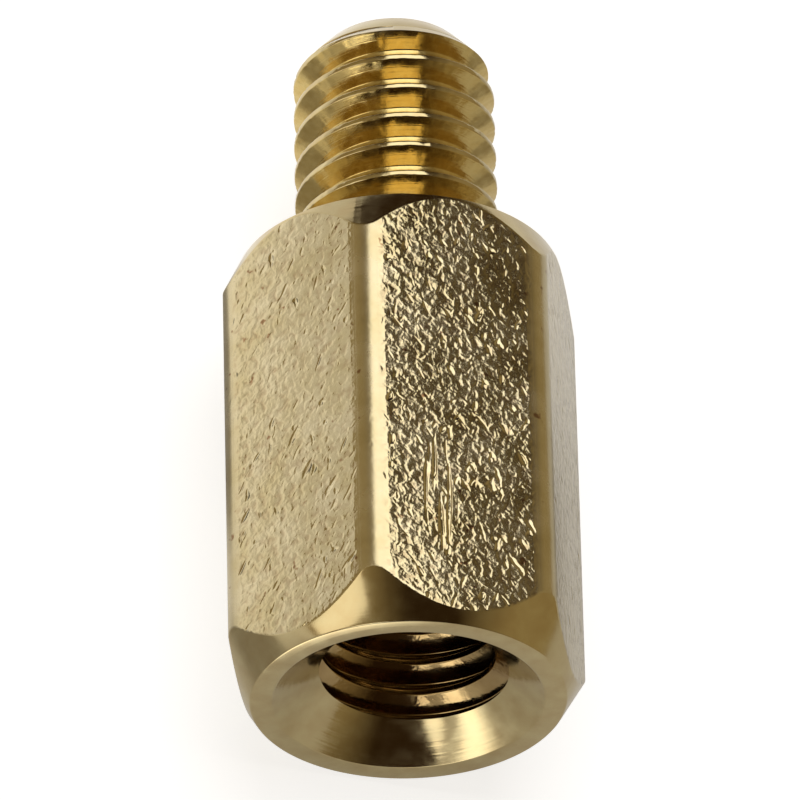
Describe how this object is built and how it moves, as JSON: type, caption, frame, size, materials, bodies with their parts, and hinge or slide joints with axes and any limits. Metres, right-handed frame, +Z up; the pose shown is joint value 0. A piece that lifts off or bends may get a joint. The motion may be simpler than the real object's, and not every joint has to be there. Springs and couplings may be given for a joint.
{
  "type": "hex standoff",
  "caption": "Brass hex standoff with a threaded stud at one end and a countersunk, tapped blind hole at the other, for spacing boards and panels.",
  "frame": {"origin": "on the surface that the standoff lies on, under the middle of its length", "axes": "+Y along the standoff's axis towards the stud, +Z up, square to the flat that it lies on, +X towards a corner of the hex"},
  "size_m": [0.0054, 0.011, 0.0047],
  "materials": {
    "brass": "drawn and turned brass, satin and pitted on the flats, bright on the turned faces"
  },
  "bodies": {
    "root": {"hex_standoff": "brass"}
  },
  "joints": []
}
